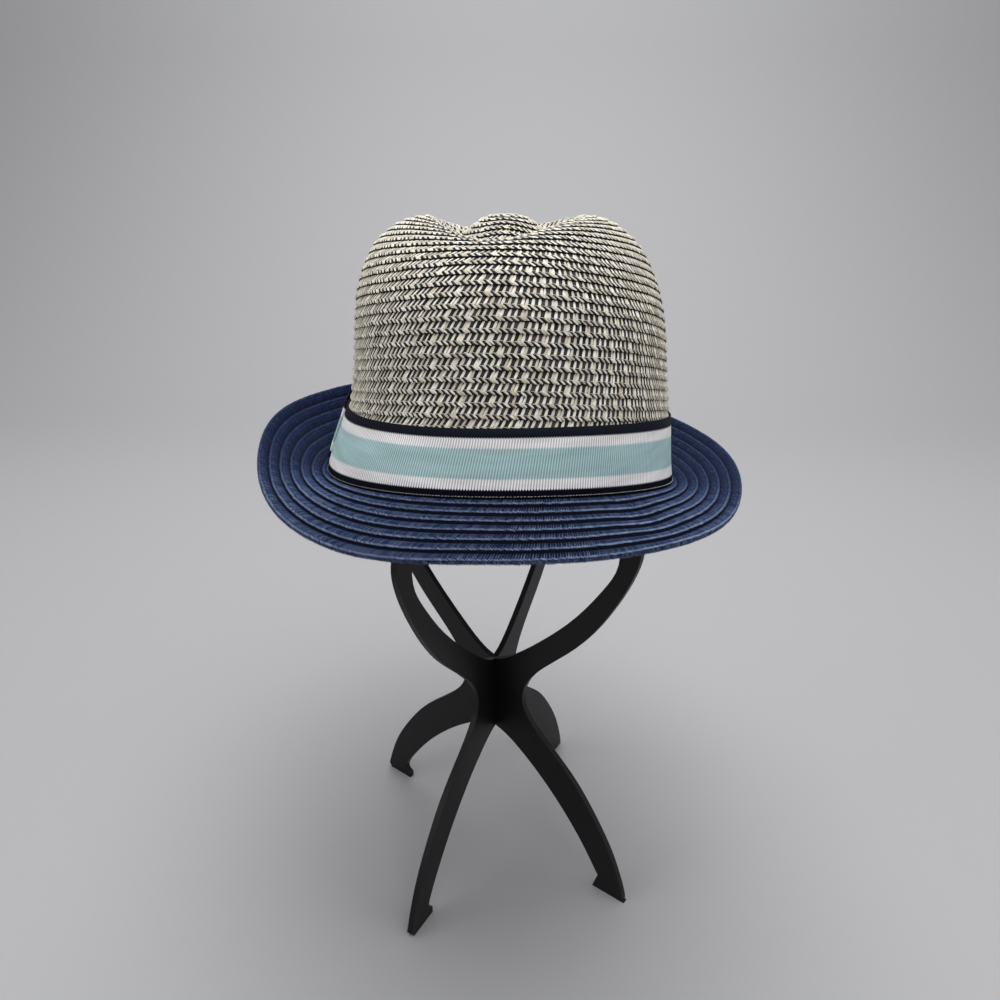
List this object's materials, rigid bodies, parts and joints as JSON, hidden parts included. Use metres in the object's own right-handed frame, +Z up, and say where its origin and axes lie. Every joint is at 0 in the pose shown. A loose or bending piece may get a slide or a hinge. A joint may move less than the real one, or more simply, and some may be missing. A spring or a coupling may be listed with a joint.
{
  "type": "fedora on a hat stand",
  "caption": "Straw fedora with a tweed-like braided crown, navy lapped brim and striped ribbon, resting on a folding stand of crossed black plastic plates.",
  "frame": {"origin": "on the floor, under the middle of the whole object's box", "axes": "+Z up, the front of the hat towards -Y, the ribbon's bow on the -X side"},
  "size_m": [0.2378, 0.2636, 0.36],
  "materials": {
    "crown_straw": "matte two-colour paper straw braid",
    "brim_straw": "matte dyed paper straw braid",
    "ribbon": "ribbed grosgrain with woven stripes",
    "stand_plastic": "satin moulded plastic"
  },
  "bodies": {
    "root": {"crown": "crown_straw", "brim": "brim_straw", "hat_band": "ribbon", "band_bow": "ribbon", "stand_plate_a": "stand_plastic", "stand_plate_b": "stand_plastic"}
  },
  "joints": []
}
